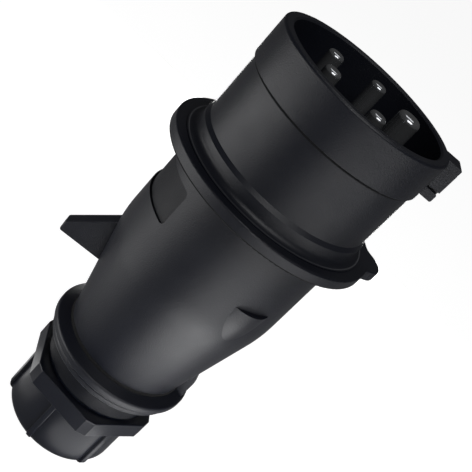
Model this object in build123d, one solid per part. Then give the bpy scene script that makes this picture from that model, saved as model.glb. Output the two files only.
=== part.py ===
from build123d import *
import os
from math import sqrt

# Five-pole pin-and-sleeve plug, 16 A size, standing on its gland nut with the mouth up.
# Millimetres. Z is the plug's axis, the earth pin and the key are on the +X side.

# Shroud and flange of the front housing
SHROUD_RADIUS = 28.0
SHROUD_BORE_RADIUS = 25.05
SHROUD_DEPTH = 38.0
RIM_ROUND = 0.8
RIM_INNER_ROUND = 0.5
HEAD_LENGTH = 12.1
BODY_RADIUS = 27.2
HEAD_EDGE_ROUND = 0.12
HEAD_STEP_FILLET = 0.2
BODY_LENGTH = 18.9
FOOT_CHAMFER_LENGTH = 1.2
FOOT_LENGTH = 4.5
FOOT_FILLET = 2.0
LAND_WIDTH = 0.6
LAND_HEIGHT = 0.25
WEB_THICKNESS = 2.2
FLANGE_RADIUS = 33.7
FLANGE_THICKNESS = 3.5
FLANGE_ROUND = 0.5
LUG_NOSE_RADIUS = 5.9
LUG_FILLET = 4.0

# The flange lug on +X and the handle fin on -X reach equally far from the axis
REACH_RADIUS = 37.7

# Key on the shroud
KEY_WIDTH = 6.7
KEY_WAIST_WIDTH = 5.8
KEY_TOP = 32.3
KEY_FRONT_LENGTH = 2.0
KEY_WAIST_LENGTH = 6.5
KEY_GROOVE_WIDTH = 4.6
KEY_GROOVE_LENGTH = 0.7
KEY_GROOVE_DROP = 0.25
KEY_REAR_LENGTH = 2.6
KEY_ROUND = 0.7

# Floor ring and rear spigot of the front housing
FLOOR_OPENING_RADIUS = 21.5
FLOOR_THICKNESS = 3.0
SPIGOT_RADIUS = 24.4
SPIGOT_BORE_RADIUS = 22.2
SPIGOT_LENGTH = 14.8
SEAL_GROOVE_OFFSET = 1.8
SEAL_WIDTH = 2.0
SEAL_GROOVE_DEPTH = 1.2
SNAP_OFFSET = 8.8
SNAP_LENGTH = 2.0
SNAP_HEIGHT = 0.8
SNAP_HALF_ANGLE = 10.0
SNAP_ANGLES = (60.0, 180.0, 300.0)

# Contacts
PIN_COUNT = 5
PIN_CIRCLE_RADIUS = 13.3
PHASE_PIN_RADIUS = 2.5
EARTH_PIN_RADIUS = 3.5
PHASE_PIN_REACH = 37.4
EARTH_PIN_REACH = 39.3
PHASE_TIP_ROUND = 1.1
EARTH_TIP_ROUND = 1.5
ROOT_STEP = 0.4
COLLAR_STEP = 1.1
PIN_COLLAR_THICKNESS = 2.0
PHASE_BARREL_RADIUS = 4.2
EARTH_BARREL_RADIUS = 4.5
BARREL_LENGTH = 17.0
WIRE_HOLE_RADIUS = 2.1
WIRE_HOLE_DEPTH = 12.0

# Terminal screws, one in each contact
TERMINAL_SCREW_RADIUS = 2.0
TERMINAL_SCREW_LENGTH = 5.2
TERMINAL_SCREW_START = 0.9
TERMINAL_SCREW_HEIGHT = 5.0
TERMINAL_SLOT_WIDTH = 0.8
TERMINAL_SLOT_DEPTH = 1.0
DRIVER_HOLE_RADIUS = 2.8

# Contact carrier and terminal block
CARRIER_SHOULDER_THICKNESS = 3.0
CARRIER_SNAP_HEIGHT = 0.6
CARRIER_SNAP_LENGTH = 1.4
CARRIER_SNAP_HALF_ANGLE = 8.0
CARRIER_SNAP_ANGLES = (120.0, 240.0)
BLOCK_RADIUS = 21.0
BLOCK_LENGTH = 19.0
BLOCK_ROUND = 1.0
BLOCK_SCREW_CIRCLE_RADIUS = 15.5
BLOCK_SCREW_ANGLES = (36.0, 180.0, 324.0)
BLOCK_SCREW_RADIUS = 1.5
BLOCK_SCREW_HEAD_RADIUS = 2.7
BLOCK_SCREW_HEAD_LENGTH = 2.0
BLOCK_SCREW_BITE = 3.4
BLOCK_SLOT_WIDTH = 0.8
BLOCK_SLOT_DEPTH = 1.0

# Handle, heights are from its rear shoulder
HANDLE_LENGTH = 81.2
HANDLE_RADIUS = 26.85
HANDLE_FRONT_ROUND = 0.4
HANDLE_WALL = 2.4
BARREL_FOOT_HEIGHT = 50.3
BARREL_BLEND = 45.0
WAIST_RADIUS = 20.1
WAIST_HEIGHT = 16.2
COLLAR_FACE_RADIUS = 20.4
COLLAR_FACE_HEIGHT = 15.4
FRONT_RIDGE_RADIUS = 24.1
FRONT_RIDGE_TOP_HEIGHT = 14.0
FRONT_RIDGE_FOOT_HEIGHT = 11.8
RIDGE_GROOVE_RADIUS = 22.5
RIDGE_GROOVE_HEIGHT = 11.1
REAR_RIDGE_RADIUS = 22.9
REAR_RIDGE_TOP_HEIGHT = 10.4
REAR_RIDGE_FOOT_HEIGHT = 8.9
NECK_RADIUS = 18.9
NECK_FILLET = 3.3
NECK_FOOT_RADIUS = 18.2
NECK_FOOT_HEIGHT = 1.6
THREAD_RADIUS = 15.7
THREAD_LENGTH = 14.0
CHAMBER_FLOOR_RADIUS = 17.0
CHAMBER_FLOOR_HEIGHT = 8.6
PASSAGE_RADIUS = 11.0
BUSH_SHOULDER_HEIGHT = 6.8
NECK_BORE_RADIUS = 13.0

# Raised bumps on the handle, each a rounded back with a flat front face
BUMP_ANGLES = (56.3, -56.3)
BUMP_FACE_HEIGHT = 61.8
BUMP_CENTRE_RADIUS = 19.45
BUMP_CROSS_RADIUS = 9.0
BUMP_BACK_RADIUS = 38.0
BUMP_LENGTH = 16.0

# Plate recess on the -X side
PLATE_HALF_ANGLE = 46.7
PLATE_FOOT_HEIGHT = 63.8
PLATE_HEIGHT = 11.9
PLATE_DEPTH = 0.7
PLATE_CORNER = 1.5

# Fin on the -X side, its outer end in line with the flange lug's
FIN_THICKNESS = 5.0
FIN_FOOT_HEIGHT = 33.2
FIN_TIP_LENGTH = 3.3
FIN_SLOPE_LENGTH = 10.7
FIN_ROUND = 0.8
FIN_EDGE_ROUND = 0.5

# Wedge in front of the collar on the +X side
WEDGE_HALF_ANGLE = 13.9
WEDGE_RADIUS = 23.1
WEDGE_KNEE_HEIGHT = 21.0
WEDGE_TOP_HEIGHT = 25.0

# Gland nut
NUT_BODY_LENGTH = 16.6
NUT_BODY_RADIUS = 18.7
NUT_REAR_ROUND = 2.5
HEX_LENGTH = 6.1
HEX_ACROSS_FLATS = 39.7
HEX_CORNER_RADIUS = 22.0
HEX_ROUND = 0.4
NUT_TURN = 11.7
NUT_RIB_COUNT = 6
NUT_RIB_RADIUS = 19.8
NUT_RIB_WIDTH = 1.7
NUT_RIB_FOOT = 0.5
NUT_RIB_END_ROUND = 2.4
NUT_RIB_EDGE_ROUND = 0.3
NUT_FLOOR_THICKNESS = 3.0
NUT_HOLE_RADIUS = 9.5
NUT_HOLE_ROUND = 1.0
NUT_MOUTH_CHAMFER = 0.8

# Slip ring, clamp cage and sealing bush inside the gland
SLIP_RING_THICKNESS = 1.2
GLAND_PASSAGE_RADIUS = 9.8
GLAND_RING_RADIUS = 15.4
CAGE_BASE_THICKNESS = 2.0
CAGE_FINGER_LENGTH = 13.6
CAGE_FINGER_WALL = 1.7
CAGE_FINGER_COUNT = 8
CAGE_SLOT_WIDTH = 1.6
BUSH_BORE_RADIUS = 6.0
BUSH_BORE_ROUND = 1.0

# Clearances
FLANGE_GAP = 0.6
NECK_GAP = 0.3
SLIDE_CLEARANCE = 0.1
PRESS_CLEARANCE = 0.05
THREAD_CLEARANCE = 0.3
FACE_CLEARANCE = 0.1
SINK = 1.0

# Levels along the axis, from the nut's rear face upwards
NUT_TOP = NUT_BODY_LENGTH + HEX_LENGTH
HANDLE_REAR = NUT_TOP + NECK_GAP
HANDLE_FRONT = HANDLE_REAR + HANDLE_LENGTH
FLANGE_REAR = HANDLE_FRONT + FLANGE_GAP
FLANGE_FRONT = FLANGE_REAR + FLANGE_THICKNESS
CHAMFER_FOOT = FLANGE_FRONT + FOOT_LENGTH
BODY_FOOT = CHAMFER_FOOT + FOOT_CHAMFER_LENGTH
HEAD_FOOT = BODY_FOOT + BODY_LENGTH
RIM = HEAD_FOOT + HEAD_LENGTH
CARRIER_FACE = RIM - SHROUD_DEPTH
FLOOR_REAR = CARRIER_FACE - FLOOR_THICKNESS
CARRIER_REAR = FLOOR_REAR - CARRIER_SHOULDER_THICKNESS
BLOCK_REAR = CARRIER_REAR - BLOCK_LENGTH
BARREL_REAR = CARRIER_REAR - BARREL_LENGTH
TERMINAL_SCREW_LEVEL = BARREL_REAR + TERMINAL_SCREW_HEIGHT
SPIGOT_REAR = FLANGE_REAR - SPIGOT_LENGTH
SEAL_TOP = FLANGE_REAR - SEAL_GROOVE_OFFSET
SNAP_TOP = FLANGE_REAR - SNAP_OFFSET
HANDLE_BORE_RADIUS = SPIGOT_RADIUS + SLIDE_CLEARANCE
THREAD_REAR = HANDLE_REAR - THREAD_LENGTH
BUSH_FRONT = HANDLE_REAR + BUSH_SHOULDER_HEIGHT
SLIP_RING_REAR = NUT_FLOOR_THICKNESS + FACE_CLEARANCE
CAGE_REAR = SLIP_RING_REAR + SLIP_RING_THICKNESS + FACE_CLEARANCE
CAGE_BASE_FRONT = CAGE_REAR + CAGE_BASE_THICKNESS
CAGE_FRONT = CAGE_BASE_FRONT + CAGE_FINGER_LENGTH
CAGE_FINGER_RADIUS = NECK_BORE_RADIUS - SLIDE_CLEARANCE
CONE_SLOPE = (HANDLE_RADIUS - WAIST_RADIUS) / (BARREL_FOOT_HEIGHT - WAIST_HEIGHT)


def outline(points, rounds=()):
    """Closed outline in the XZ plane. Each round is a corner's index and its radius."""
    face = make_face(Polyline(*points, close=True))
    for index, radius in rounds:
        corner = face.vertices().sort_by_distance((points[index][0], points[index][1], 0))[0]
        face = fillet(corner, radius)
    return Plane.XZ * face


def turned(points, rounds=()):
    """Solid of revolution about Z from points of radius and height."""
    return revolve(outline(points, rounds), Axis.Z)


def ring(inner, outer, foot, top):
    """Plain ring about Z."""
    return turned([(inner, foot), (outer, foot), (outer, top), (inner, top)])


def disc(radius, foot, top):
    """Plain disc about Z."""
    return Pos(0, 0, foot) * Cylinder(radius, top - foot, align=(Align.CENTER, Align.CENTER, Align.MIN))


def arc_block(points, centre, half_angle):
    """Outline of radius and height swept about Z over an arc centred on an angle."""
    section = Rot(0, 0, centre - half_angle) * outline(points)
    return revolve(section, Axis.Z, revolution_arc=2 * half_angle)


def polar(radius, angle, z=0.0):
    """Place at a radius and an angle about Z, with X pointing outwards."""
    return Rot(0, 0, angle) * Pos(radius, 0, z)


def box_between(low, high):
    """Box between two opposite corners."""
    size = [b - a for a, b in zip(low, high)]
    return Pos(*low) * Box(*size, align=(Align.MIN, Align.MIN, Align.MIN))


def cone_radius(height):
    """Outer radius of the handle's cone at a height above its rear shoulder."""
    return WAIST_RADIUS + (height - WAIST_HEIGHT) * CONE_SLOPE


def pin_angles():
    """Angle of each contact, the earth contact first."""
    return [index * 360 / PIN_COUNT for index in range(PIN_COUNT)]


def key():
    """Key on the shroud: wide front and rear blocks with a narrower waist."""
    waist_top = RIM - KEY_FRONT_LENGTH
    waist_foot = waist_top - KEY_WAIST_LENGTH
    groove_foot = waist_foot - KEY_GROOVE_LENGTH
    foot = groove_foot - KEY_REAR_LENGTH
    root = SHROUD_RADIUS - SINK
    half = KEY_WIDTH / 2
    waist_half = KEY_WAIST_WIDTH / 2
    groove_half = KEY_GROOVE_WIDTH / 2
    front = box_between((root, -half, waist_top), (KEY_TOP, half, RIM))
    waist = box_between((root, -waist_half, waist_foot), (KEY_TOP, waist_half, waist_top))
    groove_top = KEY_TOP - KEY_GROOVE_DROP
    groove = box_between((root, -groove_half, groove_foot), (groove_top, groove_half, waist_foot))
    rear = box_between((root, -half, foot), (KEY_TOP, half, groove_foot))
    return rounded_block(front) + waist + groove + rounded_block(rear)


def rounded_block(block):
    """Block of the key with its outer edges rounded."""
    outer = block.faces().sort_by(Axis.X)[-1]
    return fillet(outer.edges(), KEY_ROUND)


def flange():
    """Round flange with one lug on the +X side, rounded along both outer edges."""
    nose = Pos(REACH_RADIUS - LUG_NOSE_RADIUS, 0) * Circle(LUG_NOSE_RADIUS)
    sketch = Circle(FLANGE_RADIUS) + nose
    sketch = fillet(sketch.vertices(), LUG_FILLET)
    plate = Pos(0, 0, FLANGE_REAR) * extrude(sketch, FLANGE_THICKNESS)
    return fillet(plate.faces().filter_by(Axis.Z).edges(), FLANGE_ROUND)


def snap_outline(radius, height, top, length, clearance):
    """Outline of a snap lug, or of its pocket when a clearance is given."""
    low = top - length - clearance
    high = top + clearance
    return [(radius - SINK, low), (radius + height + clearance, low), (radius + height + clearance, high), (radius - SINK, high)]


def front_housing():
    """Shroud, flange, floor ring, rear spigot and key in one moulding."""
    foot_fillet = min(FOOT_FILLET, (FLANGE_RADIUS - SHROUD_RADIUS) / 2)
    land_radius = SHROUD_RADIUS + foot_fillet + LAND_WIDTH
    land_top = FLANGE_FRONT + LAND_HEIGHT
    body = turned(
        [
            (0, SPIGOT_REAR),
            (SPIGOT_RADIUS, SPIGOT_REAR),
            (SPIGOT_RADIUS, FLANGE_REAR),
            (land_radius, FLANGE_REAR),
            (land_radius, land_top),
            (SHROUD_RADIUS, land_top),
            (SHROUD_RADIUS, CHAMFER_FOOT),
            (BODY_RADIUS, BODY_FOOT),
            (BODY_RADIUS, HEAD_FOOT),
            (SHROUD_RADIUS, HEAD_FOOT),
            (SHROUD_RADIUS, RIM),
            (0, RIM),
        ],
        [(5, foot_fillet), (8, HEAD_STEP_FILLET), (9, HEAD_EDGE_ROUND), (10, RIM_ROUND)],
    )
    body += flange() + key()
    for angle in SNAP_ANGLES:
        body += arc_block(snap_outline(SPIGOT_RADIUS, SNAP_HEIGHT, SNAP_TOP, SNAP_LENGTH, 0.0), angle, SNAP_HALF_ANGLE)
    body -= well()
    body -= disc(FLOOR_OPENING_RADIUS, FLOOR_REAR - SINK, CARRIER_FACE + SINK)
    body -= disc(SPIGOT_BORE_RADIUS, SPIGOT_REAR - SINK, FLOOR_REAR)
    groove_floor = SPIGOT_RADIUS - SEAL_GROOVE_DEPTH
    body -= ring(groove_floor, SPIGOT_RADIUS + SINK, SEAL_TOP - SEAL_WIDTH, SEAL_TOP)
    for angle in CARRIER_SNAP_ANGLES:
        body -= arc_block(carrier_snap_outline(FACE_CLEARANCE), angle, CARRIER_SNAP_HALF_ANGLE + 1.0)
    return body


def well():
    """Cutter of the shroud's well, which narrows to the spigot's bore below the flange web."""
    wide_foot = max(CARRIER_FACE, FLANGE_REAR + WEB_THICKNESS)
    mouth = turned(
        [
            (0, wide_foot),
            (SHROUD_BORE_RADIUS, wide_foot),
            (SHROUD_BORE_RADIUS, RIM - RIM_INNER_ROUND),
            (SHROUD_BORE_RADIUS + RIM_INNER_ROUND, RIM),
            (SHROUD_BORE_RADIUS + RIM_INNER_ROUND, RIM + SINK),
            (0, RIM + SINK),
        ]
    )
    return mouth + disc(SPIGOT_BORE_RADIUS, CARRIER_FACE, wide_foot + SINK)


def housing_seal():
    """Seal ring in the spigot's groove."""
    return ring(
        SPIGOT_RADIUS - SEAL_GROOVE_DEPTH + PRESS_CLEARANCE,
        HANDLE_BORE_RADIUS - PRESS_CLEARANCE,
        SEAL_TOP - SEAL_WIDTH + PRESS_CLEARANCE,
        SEAL_TOP - PRESS_CLEARANCE,
    )


def carrier_snap_outline(clearance):
    """Outline of the carrier's snap lug, or of its pocket in the spigot."""
    radius = SPIGOT_BORE_RADIUS - SLIDE_CLEARANCE
    top = CARRIER_REAR + CARRIER_SNAP_LENGTH
    return snap_outline(radius, CARRIER_SNAP_HEIGHT, top, CARRIER_SNAP_LENGTH, clearance)


def contact_carrier():
    """Insulating disc that the contacts stand in, seated behind the floor ring."""
    body = disc(FLOOR_OPENING_RADIUS - SLIDE_CLEARANCE, FLOOR_REAR - SINK, CARRIER_FACE)
    body += disc(SPIGOT_BORE_RADIUS - SLIDE_CLEARANCE, CARRIER_REAR, FLOOR_REAR - PRESS_CLEARANCE)
    for angle in CARRIER_SNAP_ANGLES:
        body += arc_block(carrier_snap_outline(0.0), angle, CARRIER_SNAP_HALF_ANGLE)
    for angle in pin_angles():
        radius = pin_radius(angle)
        hole = disc(radius + ROOT_STEP + PRESS_CLEARANCE, CARRIER_REAR - SINK, CARRIER_FACE + SINK)
        seat_top = CARRIER_REAR + PIN_COLLAR_THICKNESS + PRESS_CLEARANCE
        seat = disc(barrel_radius(angle) + COLLAR_STEP + PRESS_CLEARANCE, CARRIER_REAR - SINK, seat_top)
        body -= polar(PIN_CIRCLE_RADIUS, angle) * (hole + seat)
    for angle in BLOCK_SCREW_ANGLES:
        bite = disc(BLOCK_SCREW_RADIUS + PRESS_CLEARANCE, CARRIER_REAR - SINK, CARRIER_REAR + BLOCK_SCREW_BITE + PRESS_CLEARANCE)
        body -= polar(BLOCK_SCREW_CIRCLE_RADIUS, angle) * bite
    return body


def pin_radius(angle):
    """Radius of the contact at an angle, the earth contact being the thick one."""
    return EARTH_PIN_RADIUS if angle == 0 else PHASE_PIN_RADIUS


def barrel_radius(angle):
    """Radius of the contact's terminal barrel at an angle."""
    return EARTH_BARREL_RADIUS if angle == 0 else PHASE_BARREL_RADIUS


def contact(angle):
    """Contact pin with its root, collar and terminal barrel."""
    radius = pin_radius(angle)
    earth = angle == 0
    tip = CARRIER_FACE + (EARTH_PIN_REACH if earth else PHASE_PIN_REACH)
    tip_round = EARTH_TIP_ROUND if earth else PHASE_TIP_ROUND
    barrel = barrel_radius(angle)
    collar_top = CARRIER_REAR + PIN_COLLAR_THICKNESS
    body = turned(
        [
            (0, BARREL_REAR),
            (barrel, BARREL_REAR),
            (barrel, CARRIER_REAR + PRESS_CLEARANCE),
            (barrel + COLLAR_STEP, CARRIER_REAR + PRESS_CLEARANCE),
            (barrel + COLLAR_STEP, collar_top),
            (radius + ROOT_STEP, collar_top),
            (radius + ROOT_STEP, CARRIER_FACE),
            (radius, CARRIER_FACE),
            (radius, tip),
            (0, tip),
        ],
        [(8, tip_round)],
    )
    body -= disc(WIRE_HOLE_RADIUS, BARREL_REAR - SINK, BARREL_REAR + WIRE_HOLE_DEPTH)
    body -= radial_rod(TERMINAL_SCREW_RADIUS + PRESS_CLEARANCE, 0.0, barrel + SINK)
    return polar(PIN_CIRCLE_RADIUS, angle) * body


def radial_rod(radius, start, end):
    """Rod along X at the level of the terminal screws."""
    rod = Rot(0, 90, 0) * Cylinder(radius, end - start, align=(Align.CENTER, Align.CENTER, Align.MIN))
    return Pos(start, 0, TERMINAL_SCREW_LEVEL) * rod


def terminal_screws():
    """One slotted screw in the side of each contact's barrel."""
    screws = []
    end = TERMINAL_SCREW_START + TERMINAL_SCREW_LENGTH
    slot = box_between(
        (end - TERMINAL_SLOT_DEPTH, -TERMINAL_SCREW_RADIUS - SINK, TERMINAL_SCREW_LEVEL - TERMINAL_SLOT_WIDTH / 2),
        (end + SINK, TERMINAL_SCREW_RADIUS + SINK, TERMINAL_SCREW_LEVEL + TERMINAL_SLOT_WIDTH / 2),
    )
    for angle in pin_angles():
        screw = radial_rod(TERMINAL_SCREW_RADIUS, TERMINAL_SCREW_START, end) - slot
        screws.append(polar(PIN_CIRCLE_RADIUS, angle) * screw)
    return Compound(children=[solid for screw in screws for solid in screw.solids()])


def terminal_block():
    """Insulating block around the terminal barrels, screwed to the carrier from behind."""
    top = CARRIER_REAR
    body = turned(
        [(0, BLOCK_REAR), (BLOCK_RADIUS, BLOCK_REAR), (BLOCK_RADIUS, top), (0, top)],
        [(1, BLOCK_ROUND)],
    )
    for angle in pin_angles():
        barrel = barrel_radius(angle)
        chamber = disc(barrel + PRESS_CLEARANCE, BLOCK_REAR - SINK, top + SINK)
        driver = radial_rod(DRIVER_HOLE_RADIUS, 0.0, BLOCK_RADIUS)
        body -= polar(PIN_CIRCLE_RADIUS, angle) * (chamber + driver)
    for angle in BLOCK_SCREW_ANGLES:
        shank = disc(BLOCK_SCREW_RADIUS + SLIDE_CLEARANCE, BLOCK_REAR - SINK, top + SINK)
        head_top = BLOCK_REAR + BLOCK_SCREW_HEAD_LENGTH
        head = disc(BLOCK_SCREW_HEAD_RADIUS + SLIDE_CLEARANCE, BLOCK_REAR - SINK, head_top)
        body -= polar(BLOCK_SCREW_CIRCLE_RADIUS, angle) * (shank + head)
    return body


def block_screws():
    """Three slotted screws that hold the terminal block to the carrier."""
    screws = []
    for angle in BLOCK_SCREW_ANGLES:
        head = disc(BLOCK_SCREW_HEAD_RADIUS, BLOCK_REAR, BLOCK_REAR + BLOCK_SCREW_HEAD_LENGTH)
        shank = disc(BLOCK_SCREW_RADIUS, BLOCK_REAR + SINK, CARRIER_REAR + BLOCK_SCREW_BITE)
        slot = box_between(
            (-BLOCK_SCREW_HEAD_RADIUS - SINK, -BLOCK_SLOT_WIDTH / 2, BLOCK_REAR - SINK),
            (BLOCK_SCREW_HEAD_RADIUS + SINK, BLOCK_SLOT_WIDTH / 2, BLOCK_REAR + BLOCK_SLOT_DEPTH),
        )
        screws.append(polar(BLOCK_SCREW_CIRCLE_RADIUS, angle) * (head + shank - slot))
    return Compound(children=[solid for screw in screws for solid in screw.solids()])


def handle_outer():
    """Turned outside of the handle with its collar, neck and threaded tube."""
    base = HANDLE_REAR
    return turned(
        [
            (0, THREAD_REAR),
            (THREAD_RADIUS, THREAD_REAR),
            (THREAD_RADIUS, base),
            (NECK_FOOT_RADIUS, base),
            (NECK_RADIUS, base + NECK_FOOT_HEIGHT),
            (NECK_RADIUS, base + REAR_RIDGE_FOOT_HEIGHT),
            (REAR_RIDGE_RADIUS, base + REAR_RIDGE_FOOT_HEIGHT),
            (REAR_RIDGE_RADIUS, base + REAR_RIDGE_TOP_HEIGHT),
            (RIDGE_GROOVE_RADIUS, base + RIDGE_GROOVE_HEIGHT),
            (FRONT_RIDGE_RADIUS, base + FRONT_RIDGE_FOOT_HEIGHT),
            (FRONT_RIDGE_RADIUS, base + FRONT_RIDGE_TOP_HEIGHT),
            (COLLAR_FACE_RADIUS, base + COLLAR_FACE_HEIGHT),
            (WAIST_RADIUS, base + WAIST_HEIGHT),
            (HANDLE_RADIUS, base + BARREL_FOOT_HEIGHT),
            (HANDLE_RADIUS, HANDLE_FRONT),
            (0, HANDLE_FRONT),
        ],
        [(5, NECK_FILLET), (6, 0.7), (7, 0.5), (8, 0.4), (9, 0.7), (10, 0.9), (13, BARREL_BLEND), (14, HANDLE_FRONT_ROUND)],
    )


def handle_inner():
    """Hollow of the handle: front bore, wiring chamber, passage and neck bore."""
    base = HANDLE_REAR
    wall = HANDLE_WALL
    knee = BARREL_FOOT_HEIGHT - (HANDLE_RADIUS - wall - HANDLE_BORE_RADIUS) / CONE_SLOPE
    return turned(
        [
            (0, THREAD_REAR - SINK),
            (NECK_BORE_RADIUS, THREAD_REAR - SINK),
            (NECK_BORE_RADIUS, BUSH_FRONT),
            (PASSAGE_RADIUS, BUSH_FRONT),
            (PASSAGE_RADIUS, base + CHAMBER_FLOOR_HEIGHT),
            (CHAMBER_FLOOR_RADIUS, base + CHAMBER_FLOOR_HEIGHT),
            (WAIST_RADIUS - wall, base + WAIST_HEIGHT),
            (cone_radius(knee) - wall, base + knee),
            (HANDLE_BORE_RADIUS, HANDLE_FRONT + SINK),
            (0, HANDLE_FRONT + SINK),
        ]
    )


def bump(angle):
    """Raised bump with a flat front face that fades towards the gland."""
    tail = BUMP_CROSS_RADIUS - arc_drop(BUMP_BACK_RADIUS, BUMP_LENGTH)
    middle = BUMP_CROSS_RADIUS - arc_drop(BUMP_BACK_RADIUS, BUMP_LENGTH / 2)
    edges = ThreePointArc((tail, -BUMP_LENGTH), (middle, -BUMP_LENGTH / 2), (BUMP_CROSS_RADIUS, 0))
    edges += Line((BUMP_CROSS_RADIUS, 0), (0, 0))
    edges += Line((0, 0), (0, -BUMP_LENGTH))
    edges += Line((0, -BUMP_LENGTH), (tail, -BUMP_LENGTH))
    half = revolve(Plane.XZ * make_face(edges), Axis.Z)
    return polar(BUMP_CENTRE_RADIUS, angle, HANDLE_REAR + BUMP_FACE_HEIGHT) * half


def arc_drop(radius, run):
    """Fall of an arc from its top over a run along its tangent."""
    return radius - sqrt(radius**2 - run**2)


def plate_recess():
    """Cutter of the shallow plate recess with rounded corners."""
    foot = HANDLE_REAR + PLATE_FOOT_HEIGHT
    top = foot + PLATE_HEIGHT
    inner = HANDLE_RADIUS - PLATE_DEPTH
    outer = HANDLE_RADIUS + SINK
    cutter = arc_block([(inner, foot), (outer, foot), (outer, top), (inner, top)], 180.0, PLATE_HALF_ANGLE)
    radial = [
        edge
        for edge in cutter.edges()
        if edge.geom_type == GeomType.LINE and abs(edge.tangent_at(0.5).Z) < 0.1
    ]
    return fillet(radial, PLATE_CORNER)


def fin():
    """Triangular fin on the -X side with a flat lower edge."""
    foot = HANDLE_REAR + FIN_FOOT_HEIGHT
    shoulder = foot + FIN_TIP_LENGTH
    top = shoulder + FIN_SLOPE_LENGTH
    root = cone_radius(FIN_FOOT_HEIGHT) - SINK
    top_radius = min(cone_radius(top - HANDLE_REAR), HANDLE_RADIUS)
    section = outline(
        [
            (-root, foot),
            (-REACH_RADIUS, foot),
            (-REACH_RADIUS, shoulder),
            (-top_radius, top),
            (-root, top - SINK),
        ],
        [(1, FIN_ROUND), (2, FIN_ROUND)],
    )
    body = extrude(section, FIN_THICKNESS / 2, both=True)
    sides = body.faces().filter_by(Axis.Y)
    outer = [edge for side in sides for edge in side.edges() if edge.center().X < -top_radius]
    return fillet(outer, FIN_EDGE_ROUND)


def wedge():
    """Wedge that runs from the cone down onto the collar's face on the +X side."""
    base = HANDLE_REAR
    root = WAIST_RADIUS - SINK
    points = [
        (root, base + FRONT_RIDGE_TOP_HEIGHT),
        (WEDGE_RADIUS, base + FRONT_RIDGE_TOP_HEIGHT),
        (WEDGE_RADIUS, base + WEDGE_KNEE_HEIGHT),
        (cone_radius(WEDGE_TOP_HEIGHT), base + WEDGE_TOP_HEIGHT),
        (root, base + WEDGE_TOP_HEIGHT - SINK),
    ]
    return arc_block(points, 0.0, WEDGE_HALF_ANGLE)


def handle():
    """Rear housing that is held in the hand."""
    body = handle_outer() + fin() + wedge()
    for angle in BUMP_ANGLES:
        body += bump(angle)
    body -= handle_inner()
    body -= plate_recess()
    for angle in SNAP_ANGLES:
        pocket = snap_outline(SPIGOT_RADIUS, SNAP_HEIGHT, SNAP_TOP, SNAP_LENGTH, FACE_CLEARANCE)
        body -= arc_block(pocket, angle, SNAP_HALF_ANGLE + 1.0)
    return body


def sealing_bush():
    """Stepped rubber bush that the cable passes through."""
    finger_bore = CAGE_FINGER_RADIUS - CAGE_FINGER_WALL
    rear = CAGE_BASE_FRONT + PRESS_CLEARANCE
    body = turned(
        [
            (BUSH_BORE_RADIUS, rear),
            (finger_bore - PRESS_CLEARANCE, rear),
            (finger_bore - PRESS_CLEARANCE, CAGE_FRONT + PRESS_CLEARANCE),
            (CAGE_FINGER_RADIUS, CAGE_FRONT + PRESS_CLEARANCE),
            (CAGE_FINGER_RADIUS, BUSH_FRONT - PRESS_CLEARANCE),
            (BUSH_BORE_RADIUS, BUSH_FRONT - PRESS_CLEARANCE),
        ],
        [(0, BUSH_BORE_ROUND), (5, BUSH_BORE_ROUND)],
    )
    return body


def clamp_cage():
    """Ring with fingers that run forwards around the bush."""
    body = ring(GLAND_PASSAGE_RADIUS, GLAND_RING_RADIUS, CAGE_REAR, CAGE_BASE_FRONT)
    finger_bore = CAGE_FINGER_RADIUS - CAGE_FINGER_WALL
    body += ring(finger_bore, CAGE_FINGER_RADIUS, CAGE_BASE_FRONT - SINK, CAGE_FRONT)
    slot = box_between((0, -CAGE_SLOT_WIDTH / 2, CAGE_BASE_FRONT), (GLAND_RING_RADIUS, CAGE_SLOT_WIDTH / 2, CAGE_FRONT + SINK))
    for index in range(CAGE_FINGER_COUNT):
        body -= Rot(0, 0, index * 360 / CAGE_FINGER_COUNT) * slot
    return body


def slip_ring():
    """Thin ring between the nut's floor and the clamp cage."""
    return ring(GLAND_PASSAGE_RADIUS, GLAND_RING_RADIUS, SLIP_RING_REAR, SLIP_RING_REAR + SLIP_RING_THICKNESS)


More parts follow.
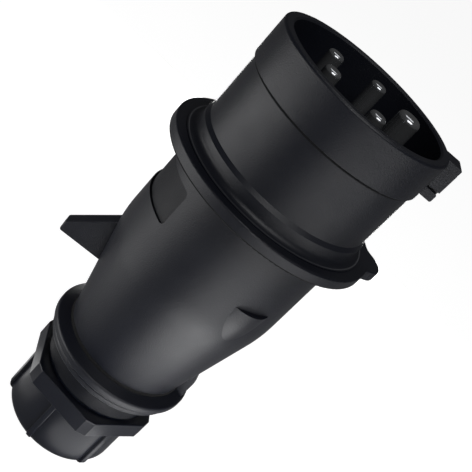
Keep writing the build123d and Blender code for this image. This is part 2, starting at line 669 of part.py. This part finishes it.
def gland_nut():
    """Hexagon nut with a ribbed sleeve and an open floor for the cable."""
    sleeve = turned(
        [(0, 0), (NUT_BODY_RADIUS, 0), (NUT_BODY_RADIUS, NUT_TOP), (0, NUT_TOP)],
        [(1, NUT_REAR_ROUND)],
    )
    hexagon = extrude(RegularPolygon(HEX_ACROSS_FLATS / 2, 6, major_radius=False), HEX_LENGTH)
    corners = extrude(Rot(0, 0, 30) * RegularPolygon(HEX_CORNER_RADIUS, 6, major_radius=False), HEX_LENGTH)
    head = Pos(0, 0, NUT_BODY_LENGTH) * (hexagon & corners)
    head = fillet(head.faces().filter_by(Axis.Z).edges(), HEX_ROUND)
    section = outline(
        [
            (NUT_BODY_RADIUS - NUT_REAR_ROUND, NUT_RIB_FOOT),
            (NUT_RIB_RADIUS, NUT_RIB_FOOT),
            (NUT_RIB_RADIUS, NUT_BODY_LENGTH + SINK),
            (NUT_BODY_RADIUS - NUT_REAR_ROUND, NUT_BODY_LENGTH + SINK),
        ],
        [(1, NUT_RIB_END_ROUND)],
    )
    rib = extrude(section, NUT_RIB_WIDTH / 2, both=True)
    rib = fillet(rib.faces().sort_by(Axis.X)[-1].edges().filter_by(Axis.Z), NUT_RIB_EDGE_ROUND)
    flat_turn = flat_angle(hexagon)
    body = sleeve + Rot(0, 0, NUT_TURN - flat_turn) * head
    for index in range(NUT_RIB_COUNT):
        body += Rot(0, 0, NUT_TURN + index * 360 / NUT_RIB_COUNT) * rib
    bore = THREAD_RADIUS + THREAD_CLEARANCE
    body -= turned(
        [
            (0, NUT_FLOOR_THICKNESS),
            (bore, NUT_FLOOR_THICKNESS),
            (bore, NUT_TOP - NUT_MOUTH_CHAMFER),
            (bore + NUT_MOUTH_CHAMFER, NUT_TOP),
            (bore + NUT_MOUTH_CHAMFER, NUT_TOP + SINK),
            (0, NUT_TOP + SINK),
        ]
    )
    body -= disc(NUT_HOLE_RADIUS, -SINK, NUT_FLOOR_THICKNESS + SINK)
    edge = body.edges().filter_by(GeomType.CIRCLE).filter_by(lambda e: abs(e.radius - NUT_HOLE_RADIUS) < 0.01)
    return fillet(edge.sort_by(Axis.Z)[0], NUT_HOLE_ROUND)


def flat_angle(hexagon):
    """Angle of the first hexagon flat from +X, taken from its side faces."""
    sides = [face for face in hexagon.faces() if abs(face.normal_at().Z) < 0.1]
    normal = sides[0].normal_at()
    return Vector(1, 0, 0).get_signed_angle(Vector(normal.X, normal.Y, 0), Vector(0, 0, 1))


def pieces():
    """Every piece of the plug by its node name."""
    names = ("pin_pe", "pin_l1", "pin_l2", "pin_l3", "pin_n")
    made = {
        "front_housing": front_housing(),
        "housing_seal": housing_seal(),
        "contact_carrier": contact_carrier(),
        "terminal_block": terminal_block(),
        "terminal_screws": terminal_screws(),
        "block_screws": block_screws(),
        "handle": handle(),
        "sealing_bush": sealing_bush(),
        "clamp_cage": clamp_cage(),
        "slip_ring": slip_ring(),
        "gland_nut": gland_nut(),
    }
    for name, angle in zip(names, pin_angles()):
        made[name] = contact(angle)
    return made


def main():
    """Write one file for each piece."""
    os.makedirs("parts", exist_ok=True)
    for name, solid in pieces().items():
        solid.label = name
        export_step(solid, f"parts/{name}.step")


main()
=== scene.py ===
"""Looks of a five-pole pin-and-sleeve plug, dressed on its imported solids."""

import logging
import math
from dataclasses import dataclass
from enum import Enum

import bmesh
import bpy
from mathutils import Matrix, Vector


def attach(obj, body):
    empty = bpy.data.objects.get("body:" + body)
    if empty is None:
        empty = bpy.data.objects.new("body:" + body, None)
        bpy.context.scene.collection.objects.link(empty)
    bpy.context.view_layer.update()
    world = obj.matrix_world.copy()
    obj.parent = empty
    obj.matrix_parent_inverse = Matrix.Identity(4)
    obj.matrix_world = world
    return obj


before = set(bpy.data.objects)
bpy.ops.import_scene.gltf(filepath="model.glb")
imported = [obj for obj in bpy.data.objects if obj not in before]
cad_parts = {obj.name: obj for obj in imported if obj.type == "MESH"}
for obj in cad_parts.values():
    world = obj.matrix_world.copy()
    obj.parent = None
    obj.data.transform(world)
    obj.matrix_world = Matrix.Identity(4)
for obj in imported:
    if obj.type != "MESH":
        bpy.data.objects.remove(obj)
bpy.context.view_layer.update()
MM = 0.001
WHITE = (1.0, 1.0, 1.0, 1.0)
# Sockets of a Mix node that mixes two colours
MIX_SHARE, MIX_FIRST, MIX_SECOND, MIX_RESULT = 0, 6, 7, 2
# Most of a noise pattern lies between these two values
NOISE_LOW, NOISE_HIGH = 0.3, 0.7

Tree = bpy.types.NodeTree
Socket = bpy.types.NodeSocket

log = logging.getLogger("plug")


class Skin(Enum):
    """How a mould was finished, as the size and the height of its grain in mm."""

    SPARKED = (0.40, 0.13)
    BLASTED = (0.40, 0.07)
    POLISHED = (0.60, 0.003)


def linear(code: str) -> tuple[float, float, float, float]:
    """Turn an sRGB hex value into linear colour.

    Args:
        code: Colour as #rrggbb.

    Returns:
        Linear red, green and blue with an alpha of 1.
    """
    channels = [int(code[start : start + 2], 16) / 255 for start in (1, 3, 5)]
    red, green, blue = [
        value / 12.92 if value <= 0.04045 else ((value + 0.055) / 1.055) ** 2.4
        for value in channels
    ]
    return red, green, blue, 1.0


def add_node(
    tree: Tree,
    kind: str,
    settings: dict[str | int, object] | None = None,
    links: dict[str | int, Socket] | None = None,
) -> bpy.types.Node:
    """Add one node with its settings and links.

    Args:
        tree: Node tree that gets the node.
        kind: Blender's name of the node type.
        settings: Input names or numbers, or attributes, with their values.
        links: Input names or numbers with the output sockets that feed them.

    Returns:
        The new node.
    """
    made = tree.nodes.new(kind)
    for key, value in (settings or {}).items():
        if isinstance(key, int) or key in made.inputs:
            made.inputs[key].default_value = value
        else:
            setattr(made, key, value)
    for key, socket in (links or {}).items():
        tree.links.new(socket, made.inputs[key])
    return made


def empty_material(name: str) -> tuple[bpy.types.Material, Tree]:
    """Make a material with an empty node tree.

    Args:
        name: Name of the material.

    Returns:
        The material and its node tree.
    """
    material = bpy.data.materials.new(name)
    material.use_nodes = True
    material.node_tree.nodes.clear()
    return material, material.node_tree


@dataclass(frozen=True)
class SkinAndPaintedLightRing:
    """A ring of a moulding with a skin of its own, or with painted shade or a painted highlight in
    its tint.

    It lies between two radii from the axis and two heights. Dull is added to the
    roughness there, and below 0 it means a smoother skin. The tint covers that
    share of the colour.
    """

    radius_mm: tuple[float, float]
    height_mm: tuple[float, float]
    dull: float = 0.0
    cover: float = 0.0
    tint: str = "#000000"

    def mask(self, tree: Tree, where: Socket) -> Socket:
        """Pick out the ring.

        Args:
            tree: Node tree of the material.
            where: Object coordinates.

        Returns:
            1 on the ring and 0 elsewhere.
        """
        flat = add_node(
            tree,
            "ShaderNodeVectorMath",
            {"operation": "MULTIPLY", 1: (1.0, 1.0, 0.0)},
            {0: where},
        )
        radius = add_node(
            tree, "ShaderNodeVectorMath", {"operation": "LENGTH"}, {0: flat.outputs["Vector"]}
        )
        height = add_node(tree, "ShaderNodeSeparateXYZ", links={"Vector": where})
        inside = []
        for (least, most), socket in (
            (self.radius_mm, radius.outputs["Value"]),
            (self.height_mm, height.outputs["Z"]),
        ):
            near = add_node(
                tree,
                "ShaderNodeMath",
                {
                    "operation": "COMPARE",
                    1: (least + most) / 2 * MM,
                    2: (most - least) / 2 * MM,
                },
                {0: socket},
            )
            inside.append(near.outputs["Value"])
        both = add_node(
            tree, "ShaderNodeMath", {"operation": "MULTIPLY"}, {0: inside[0], 1: inside[1]}
        )
        return both.outputs["Value"]


@dataclass(frozen=True)
class MouldedPlastic:
    """Polyamide or acetal from a steel mould with a sparked, blasted or polished skin.

    The eye sees a satin surface: broad soft highlights that break up into a fine
    even grain, and a slight cloudiness.
    """

    name: str
    base: str = "#10121a"
    cloud: str = "#14161e"
    roughness: float = 0.42
    skin: Skin = Skin.SPARKED
    rings: tuple[SkinAndPaintedLightRing, ...] = ()
    cloud_mm: float = 16.0
    cloud_detail: float = 3.0
    cloud_crispness: float = 0.55
    cloud_smoother: float = 0.04
    cloud_duller: float = 0.05
    grain_detail: float = 2.0
    grain_crispness: float = 0.6
    grain_strength: float = 0.5
    ior: float = 1.53
    specular: float = 0.33

    def build(self) -> bpy.types.Material:
        """Make the material.

        Returns:
            The finished material.
        """
        grain_mm, height_mm = self.skin.value
        material, tree = empty_material(self.name)
        where = add_node(tree, "ShaderNodeTexCoord").outputs["Object"]
        cloud = add_node(
            tree,
            "ShaderNodeTexNoise",
            {
                "Scale": 1 / (self.cloud_mm * MM),
                "Detail": self.cloud_detail,
                "Roughness": self.cloud_crispness,
            },
            {"Vector": where},
        )
        # Such grain is near 0.1 mm, drawn four to six times as coarse so that it shows
        grain = add_node(
            tree,
            "ShaderNodeTexNoise",
            {
                "Scale": 1 / (grain_mm * MM),
                "Detail": self.grain_detail,
                "Roughness": self.grain_crispness,
            },
            {"Vector": where},
        )
        colour = add_node(
            tree,
            "ShaderNodeMix",
            {
                "data_type": "RGBA",
                MIX_FIRST: linear(self.base),
                MIX_SECOND: linear(self.cloud),
            },
            {MIX_SHARE: cloud.outputs["Fac"]},
        )
        sheen = add_node(
            tree,
            "ShaderNodeMapRange",
            {
                "From Min": NOISE_LOW,
                "From Max": NOISE_HIGH,
                "To Min": self.roughness - self.cloud_smoother,
                "To Max": self.roughness + self.cloud_duller,
            },
            {"Value": cloud.outputs["Fac"]},
        )
        bump = add_node(
            tree,
            "ShaderNodeBump",
            {"Strength": self.grain_strength, "Distance": height_mm * MM},
            {"Height": grain.outputs["Fac"]},
        )
        tint, rough = self.add_rings(
            tree, where, colour.outputs[MIX_RESULT], sheen.outputs["Result"]
        )
        shader = add_node(
            tree,
            "ShaderNodeBsdfPrincipled",
            {"IOR": self.ior, "Specular IOR Level": self.specular},
            {"Base Color": tint, "Roughness": rough, "Normal": bump.outputs["Normal"]},
        )
        add_node(tree, "ShaderNodeOutputMaterial", links={"Surface": shader.outputs["BSDF"]})
        return material

    def add_rings(
        self, tree: Tree, where: Socket, colour: Socket, roughness: Socket
    ) -> tuple[Socket, Socket]:
        """Lay the rings, with their painted shade and painted highlight, over the plain skin.

        Args:
            tree: Node tree of the material.
            where: Object coordinates.
            colour: Colour of the plain skin.
            roughness: Roughness of the plain skin.

        Returns:
            Colour and roughness for the shader.
        """
        for ring in self.rings:
            mask = ring.mask(tree, where)
            share = add_node(
                tree, "ShaderNodeMath", {"operation": "MULTIPLY", 1: ring.cover}, {0: mask}
            )
            colour = add_node(
                tree,
                "ShaderNodeMix",
                {"data_type": "RGBA", MIX_SECOND: linear(ring.tint)},
                {MIX_SHARE: share.outputs["Value"], MIX_FIRST: colour},
            ).outputs[MIX_RESULT]
            roughness = add_node(
                tree,
                "ShaderNodeMath",
                {"operation": "MULTIPLY_ADD", 1: ring.dull},
                {0: mask, 2: roughness},
            ).outputs["Value"]
        return colour, roughness


@dataclass(frozen=True)
class MouldedRubber:
    """Black nitrile rubber from a matt mould.

    The eye sees a dull and slightly grey surface with soft mottling and no sparkle.
    """

    name: str
    base: str = "#1b1b1b"
    bloom: str = "#262625"
    bloom_mm: float = 5.0
    bloom_detail: float = 5.0
    bloom_crispness: float = 0.65
    bloom_height_mm: float = 0.02
    bloom_strength: float = 0.4
    roughness: float = 0.72
    ior: float = 1.52

    def build(self) -> bpy.types.Material:
        """Make the material.

        Returns:
            The finished material.
        """
        material, tree = empty_material(self.name)
        where = add_node(tree, "ShaderNodeTexCoord").outputs["Object"]
        bloom = add_node(
            tree,
            "ShaderNodeTexNoise",
            {
                "Scale": 1 / (self.bloom_mm * MM),
                "Detail": self.bloom_detail,
                "Roughness": self.bloom_crispness,
            },
            {"Vector": where},
        )
        colour = add_node(
            tree,
            "ShaderNodeMix",
            {
                "data_type": "RGBA",
                MIX_FIRST: linear(self.base),
                MIX_SECOND: linear(self.bloom),
            },
            {MIX_SHARE: bloom.outputs["Fac"]},
        )
        bump = add_node(
            tree,
            "ShaderNodeBump",
            {"Strength": self.bloom_strength, "Distance": self.bloom_height_mm * MM},
            {"Height": bloom.outputs["Fac"]},
        )
        shader = add_node(
            tree,
            "ShaderNodeBsdfPrincipled",
            {"IOR": self.ior, "Roughness": self.roughness},
            {"Base Color": colour.outputs[MIX_RESULT], "Normal": bump.outputs["Normal"]},
        )
        add_node(tree, "ShaderNodeOutputMaterial", links={"Surface": shader.outputs["BSDF"]})
        return material


@dataclass(frozen=True)
class TurnedMetal:
    """Bar stock turned on a lathe and plated.

    The eye sees fine rings round the axis on a bright skin that is a little uneven
    in tone and in shine.
    """

    name: str
    plate: str
    worn: str
    roughness: float
    metallic: float = 1.0
    wear_mm: float = 3.0
    wear_detail: float = 4.0
    wear_crispness: float = 0.6
    wear_smoother: float = 0.03
    wear_duller: float = 0.05
    ring_mm: float = 0.35
    ring_detail: float = 1.0
    # Drawn out 50 times across the axis, the noise turns into rings round it
    ring_scale: tuple[float, float, float] = (0.02, 0.02, 1.0)
    ring_height_mm: float = 0.003
    ring_strength: float = 0.2

    def build(self) -> bpy.types.Material:
        """Make the material.

        Returns:
            The finished material.
        """
        material, tree = empty_material(self.name)
        where = add_node(tree, "ShaderNodeTexCoord").outputs["Object"]
        wear = add_node(
            tree,
            "ShaderNodeTexNoise",
            {
                "Scale": 1 / (self.wear_mm * MM),
                "Detail": self.wear_detail,
                "Roughness": self.wear_crispness,
            },
            {"Vector": where},
        )
        flat = add_node(
            tree, "ShaderNodeMapping", {"Scale": self.ring_scale}, {"Vector": where}
        )
        # A turning feed of 0.1 mm, drawn over three times as coarse so that it shows
        rings = add_node(
            tree,
            "ShaderNodeTexNoise",
            {"Scale": 1 / (self.ring_mm * MM), "Detail": self.ring_detail},
            {"Vector": flat.outputs["Vector"]},
        )
        colour = add_node(
            tree,
            "ShaderNodeMix",
            {
                "data_type": "RGBA",
                MIX_FIRST: linear(self.plate),
                MIX_SECOND: linear(self.worn),
            },
            {MIX_SHARE: wear.outputs["Fac"]},
        )
        sheen = add_node(
            tree,
            "ShaderNodeMapRange",
            {
                "From Min": NOISE_LOW,
                "From Max": NOISE_HIGH,
                "To Min": self.roughness - self.wear_smoother,
                "To Max": self.roughness + self.wear_duller,
            },
            {"Value": wear.outputs["Fac"]},
        )
        bump = add_node(
            tree,
            "ShaderNodeBump",
            {"Strength": self.ring_strength, "Distance": self.ring_height_mm * MM},
            {"Height": rings.outputs["Fac"]},
        )
        shader = add_node(
            tree,
            "ShaderNodeBsdfPrincipled",
            {"Metallic": self.metallic},
            {
                "Base Color": colour.outputs[MIX_RESULT],
                "Roughness": sheen.outputs["Result"],
                "Normal": bump.outputs["Normal"],
            },
        )
        add_node(tree, "ShaderNodeOutputMaterial", links={"Surface": shader.outputs["BSDF"]})
        return material


def dress(name: str, material: bpy.types.Material) -> None:
    """Give a carried-over node its material.

    Args:
        name: Name of the node.
        material: Material that the whole node gets.
    """
    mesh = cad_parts[name].data
    mesh.materials.clear()
    mesh.materials.append(material)
    log.info("%s is finished in %s", name, material.name)


@dataclass
class FrontHousing:
    """Shroud with its key and flange, and the ring that seals it to the handle."""

    # Painted shade: a fine dark line in the corner under the head's step, where its shadow falls
    step: SkinAndPaintedLightRing = SkinAndPaintedLightRing((26.9, 27.7), (132.1, 132.95), dull=0.5, cover=0.75)
    # Painted shade: a dull dark rear edge of the flange where it meets the handle. Painted
    # highlight: a faint pale line on its land
    rear_edge: SkinAndPaintedLightRing = SkinAndPaintedLightRing((33.3, 33.75), (104.75, 105.35), dull=0.5, cover=0.9)
    # Painted highlight: the pale tint stands in for a glint on the land's edge
    land: SkinAndPaintedLightRing = SkinAndPaintedLightRing((29.75, 30.15), (108.4, 108.65), cover=0.6, tint="#55565a")
    seal: MouldedRubber = MouldedRubber("moulded_nitrile_seal")

    def dress(self) -> None:
        """Finish the housing and its seal."""
        rings = (self.step, self.rear_edge, self.land)
        shell = MouldedPlastic("sparked_polyamide_housing", rings=rings)
        dress("front_housing", shell.build())
        dress("housing_seal", self.seal.build())


@dataclass
class ContactSet:
    """The five contacts, the carrier and block that hold them, and all the screws."""

    contacts: tuple[str, ...] = ("pin_pe", "pin_l1", "pin_l2", "pin_l3", "pin_n")
    # The nickel looks a little dull, so it is drawn as not fully metallic
    nickel: TurnedMetal = TurnedMetal(
        "nickel_plated_turned_brass", "#b3b5b9", "#a0a2a5", roughness=0.17, metallic=0.87
    )
    screws: tuple[str, ...] = ("terminal_screws", "block_screws")
    zinc: TurnedMetal = TurnedMetal("zinc_plated_steel", "#b4b6b8", "#9c9fa2", roughness=0.32)
    carrier: MouldedPlastic = MouldedPlastic(
        "glass_filled_polyamide_carrier", "#15161a", "#1a1b1f", 0.5, Skin.BLASTED
    )
    block: MouldedPlastic = MouldedPlastic(
        "glass_filled_polyamide_block", "#8b8d8c", "#989a99", 0.5, Skin.BLASTED
    )

    def dress(self) -> None:
        """Finish the contacts, the screws, the carrier and the block."""
        for names, metal in ((self.contacts, self.nickel), (self.screws, self.zinc)):
            material = metal.build()
            for name in names:
                dress(name, material)
        dress("contact_carrier", self.carrier.build())
        dress("terminal_block", self.block.build())


@dataclass
class Handle:
    """Handle with its threaded tube. The thread's ridge is a piece of its own."""

    # Drawn in the skin: a duller and darker panel. Painted shade: a darker and smoother
    # neck between the collar and the nut, and a dull dark corner at the cone's foot
    panel: SkinAndPaintedLightRing = SkinAndPaintedLightRing((25.5, 26.5), (86.35, 99.15), dull=0.2, cover=0.4)
    # Painted shade: the near-black tint stands in for the shade between the collar and the nut
    neck: SkinAndPaintedLightRing = SkinAndPaintedLightRing((17.8, 22.4), (22.9, 32.0), dull=-0.2, cover=0.85, tint="#05070e")
    # Painted shade: a dark corner where the cone meets the collar's face
    foot: SkinAndPaintedLightRing = SkinAndPaintedLightRing((20.05, 20.45), (38.3, 39.3), dull=0.5, cover=0.9)
    # The ridge's section, wide at its foot and sunk into the tube, where its turns
    # begin and end, and how near to each other its points are merged
    tube_radius_mm: float = 15.7
    ridge_height_mm: float = 0.25
    ridge_foot_mm: float = 1.3
    ridge_crest_mm: float = 0.5
    sink_mm: float = 0.15
    pitch_mm: float = 2.0
    first_turn_mm: float = 10.4
    last_turn_mm: float = 21.4
    steps_a_turn: int = 72
    merge_mm: float = 0.002

    def wind_thread(self) -> bmesh.types.BMesh:
        """Wind the ridge's section round the tube.

        Returns:
            The shape of the ridge in metres.
        """
        turns = (self.last_turn_mm - self.first_turn_mm) / self.pitch_mm
        root = (self.tube_radius_mm - self.sink_mm) * MM
        crest = (self.tube_radius_mm + self.ridge_height_mm) * MM
        start = self.first_turn_mm * MM
        foot = self.ridge_foot_mm * MM / 2
        top = self.ridge_crest_mm * MM / 2
        shape = bmesh.new()
        corners = [(root, -foot), (crest, -top), (crest, top), (root, foot)]
        section = shape.faces.new([shape.verts.new((x, 0.0, start + z)) for x, z in corners])
        bmesh.ops.spin(
            shape,
            geom=[section, *section.edges, *section.verts],
            cent=(0.0, 0.0, 0.0),
            axis=(0.0, 0.0, 1.0),
            dvec=(0.0, 0.0, self.pitch_mm * MM / self.steps_a_turn),
            angle=2 * math.pi * turns,
            steps=round(self.steps_a_turn * turns),
            use_merge=False,
            use_duplicate=False,
        )
        bmesh.ops.remove_doubles(shape, verts=shape.verts, dist=self.merge_mm * MM)
        bmesh.ops.recalc_face_normals(shape, faces=shape.faces)
        return shape

    def add_thread(self, material: bpy.types.Material) -> None:
        """Add the ridge of the thread, which shows when the nut is backed off.

        Args:
            material: Material of the ridge, the handle's own.
        """
        shape = self.wind_thread()
        mesh = bpy.data.meshes.new("tube_thread")
        shape.to_mesh(mesh)
        shape.free()
        mesh.materials.append(material)
        ridge = bpy.data.objects.new("tube_thread", mesh)
        bpy.context.scene.collection.objects.link(ridge)
        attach(ridge, "plug")
        log.info("%s has %d faces in %s", ridge.name, len(mesh.polygons), material.name)

    def dress(self) -> None:
        """Finish the handle and add its thread."""
        rings = (self.panel, self.neck, self.foot)
        material = MouldedPlastic("sparked_polyamide_handle", rings=rings).build()
        dress("handle", material)
        self.add_thread(material)


@dataclass
class Gland:
    """Nut, slip ring, clamping cage and bush at the cable's end."""

    nut: MouldedPlastic = MouldedPlastic(
        "blasted_polyamide_nut", roughness=0.33, skin=Skin.BLASTED
    )
    cage: MouldedPlastic = MouldedPlastic(
        "moulded_polyamide_cage", "#85888a", "#909394", 0.45, Skin.BLASTED
    )
    ring: MouldedPlastic = MouldedPlastic(
        "moulded_acetal_ring", "#d6d4cc", "#dddbd4", 0.3, Skin.POLISHED
    )
    bush: MouldedRubber = MouldedRubber("moulded_nitrile_bush")

    def dress(self) -> None:
        """Finish the nut and what it squeezes."""
        dress("gland_nut", self.nut.build())
        dress("clamp_cage", self.cage.build())
        dress("slip_ring", self.ring.build())
        dress("sealing_bush", self.bush.build())


@dataclass(frozen=True)
class SoftBox:
    """One rectangular soft box that faces a point on the plug's axis.

    The azimuth runs from +X to +Y, the distance is from the axis, and the target
    is the height of the point that the box faces.
    """

    name: str
    azimuth_deg: float
    distance_m: float
    height_m: float
    size_m: tuple[float, float]
    watts: float
    target_m: float = 0.07

    def hang(self) -> None:
        """Hang the box, out of the camera's sight."""
        lamp = bpy.data.lights.new(self.name, "AREA")
        lamp.shape = "RECTANGLE"
        lamp.size, lamp.size_y = self.size_m
        lamp.energy = self.watts
        hung = bpy.data.objects.new(self.name, lamp)
        bpy.context.scene.collection.objects.link(hung)
        turn = math.radians(self.azimuth_deg)
        place = Vector(
            (self.distance_m * math.cos(turn), self.distance_m * math.sin(turn), self.height_m)
        )
        hung.location = place
        aim = place - Vector((0.0, 0.0, self.target_m))
        hung.rotation_euler = aim.to_track_quat("Z", "Y").to_euler()
        hung.visible_camera = False


@dataclass
class PhotoCamera:
    """Camera at the photograph's angle, fitted to rim, step, flange, collar and nut."""

    focal_mm: float = 68.446
    sensor_mm: float = 36.0
    nearest_m: float = 0.01
    farthest_m: float = 50.0
    place_m: tuple[float, float, float] = (-0.04304, -0.22328, 0.19614)
    right: tuple[float, float, float] = (0.7661, 0.1481, 0.6254)
    forward: tuple[float, float, float] = (0.1772, 0.8868, -0.4269)

    def set_up(self) -> None:
        """Set the camera up and make it the scene's own."""
        lens = bpy.data.cameras.new("camera")
        lens.lens = self.focal_mm
        lens.sensor_width = self.sensor_mm
        lens.sensor_fit = "HORIZONTAL"
        lens.clip_start = self.nearest_m
        lens.clip_end = self.farthest_m
        eye = bpy.data.objects.new("camera", lens)
        bpy.context.scene.collection.objects.link(eye)
        forward = Vector(self.forward).normalized()
        up = Vector(self.right).normalized().cross(forward)
        right = forward.cross(up)
        turn = Matrix((right, up, -forward)).transposed().to_4x4()
        eye.matrix_world = Matrix.Translation(self.place_m) @ turn
        bpy.context.scene.camera = eye


@dataclass
class Studio:
    """Pale floor, world and soft boxes.

    Upright faces mirror the floor towards the camera, so the boxes that draw the long
    highlights stand or lie close to it, and the foot boxes lie flat and face up.
    """

    floor_radius_m: float = 6.0
    floor_sides: int = 96
    floor_paper: float = 0.3
    floor_white: float = 0.93
    floor_in_gloss: float = 0.10
    world_in_gloss: float = 0.035
    surround: float = 0.02
    # Name, azimuth, distance, height, width and depth, watts and, where it differs, target
    boxes: tuple[SoftBox, ...] = (
        SoftBox("box_low_fin_side", -166.0, 0.26, 0.03, (0.30, 0.12), 0.426),
        SoftBox("box_near_fin_side", -168.0, 0.14, 0.012, (0.09, 0.07), 0.017),
        SoftBox("box_floor_fin_side", -165.0, 0.085, 0.008, (0.07, 0.05), 0.016, 0.10),
        SoftBox("box_low_key_side", -49.0, 0.26, 0.03, (0.34, 0.12), 0.285),
        SoftBox("box_near_key_side", -57.0, 0.14, 0.012, (0.11, 0.07), 0.033),
        SoftBox("box_floor_key_side", -54.0, 0.074, 0.008, (0.09, 0.05), 0.084, 0.10),
        SoftBox("box_foot_fin_side", -175.0, 0.030, 0.001, (0.035, 0.014), 0.0009, 1.0),
        SoftBox("box_foot_far_side", 150.0, 0.025, 0.001, (0.03, 0.008), 0.0006, 1.0),
        SoftBox("box_foot_key_side", -60.0, 0.028, 0.001, (0.035, 0.014), 0.0026, 1.0),
        SoftBox("box_high", -78.0, 0.36, 0.56, (0.42, 0.25), 1.40, 0.14),
        SoftBox("box_back_low", 80.0, 0.30, -0.01, (0.22, 0.12), 1.30),
        SoftBox("box_back_high", 80.0, 0.20, 0.72, (0.40, 0.25), 0.55, 0.08),
    )

    def white_share(self, tree: Tree, in_gloss: float) -> Socket:
        """Work out how white the studio looks: full to the camera, a share in gloss and glass.

        Args:
            tree: Node tree of the world or the floor.
            in_gloss: The share in gloss and glass.

        Returns:
            Strength from 0 to 1, where 1 is white.
        """
        path = add_node(tree, "ShaderNodeLightPath")
        mirrored = add_node(
            tree,
            "ShaderNodeMath",
            {"operation": "MAXIMUM"},
            {0: path.outputs["Is Glossy Ray"], 1: path.outputs["Is Transmission Ray"]},
        )
        seen = add_node(
            tree,
            "ShaderNodeMath",
            {"operation": "MULTIPLY_ADD", 1: in_gloss, "use_clamp": True},
            {0: mirrored.outputs["Value"], 2: path.outputs["Is Camera Ray"]},
        )
        return seen.outputs["Value"]

    def lay_floor(self) -> None:
        """Lay a round pale floor that shows as white and keeps a soft shadow."""
        shape = bmesh.new()
        bmesh.ops.create_circle(
            shape, cap_ends=True, segments=self.floor_sides, radius=self.floor_radius_m
        )
        mesh = bpy.data.meshes.new("floor")
        shape.to_mesh(mesh)
        shape.free()
        plate = bpy.data.objects.new("floor", mesh)
        bpy.context.scene.collection.objects.link(plate)
        material, tree = empty_material("matt_paper")
        grey = self.floor_paper
        paper = add_node(tree, "ShaderNodeBsdfDiffuse", {"Color": (grey, grey, grey, 1.0)})
        level = add_node(
            tree,
            "ShaderNodeMath",
            {"operation": "MULTIPLY", 1: self.floor_white},
            {0: self.white_share(tree, self.floor_in_gloss)},
        )
        glow = add_node(
            tree, "ShaderNodeEmission", {"Color": WHITE}, {"Strength": level.outputs["Value"]}
        )
        both = add_node(
            tree,
            "ShaderNodeAddShader",
            links={0: paper.outputs["BSDF"], 1: glow.outputs["Emission"]},
        )
        add_node(tree, "ShaderNodeOutputMaterial", links={"Surface": both.outputs["Shader"]})
        mesh.materials.append(material)

    def light_world(self) -> None:
        """Make the world white to the camera and dim to everything else."""
        world = bpy.data.worlds.new("studio")
        bpy.context.scene.world = world
        world.use_nodes = True
        tree = world.node_tree
        tree.nodes.clear()
        strength = add_node(
            tree,
            "ShaderNodeMath",
            {"operation": "MAXIMUM", 1: self.surround},
            {0: self.white_share(tree, self.world_in_gloss)},
        )
        light = add_node(
            tree, "ShaderNodeBackground", {"Color": WHITE}, {"Strength": strength.outputs["Value"]}
        )
        add_node(tree, "ShaderNodeOutputWorld", links={"Surface": light.outputs["Background"]})

    def build(self) -> None:
        """Set up the whole studio."""
        self.lay_floor()
        self.light_world()
        for box in self.boxes:
            box.hang()
        bpy.context.scene.view_settings.view_transform = "Standard"


def main() -> None:
    """Set up the camera and the studio, and dress the plug."""
    logging.basicConfig(level=logging.INFO, format="%(message)s")
    PhotoCamera().set_up()
    Studio().build()
    FrontHousing().dress()
    ContactSet().dress()
    Handle().dress()
    Gland().dress()


if __name__ == "__main__":
    main()
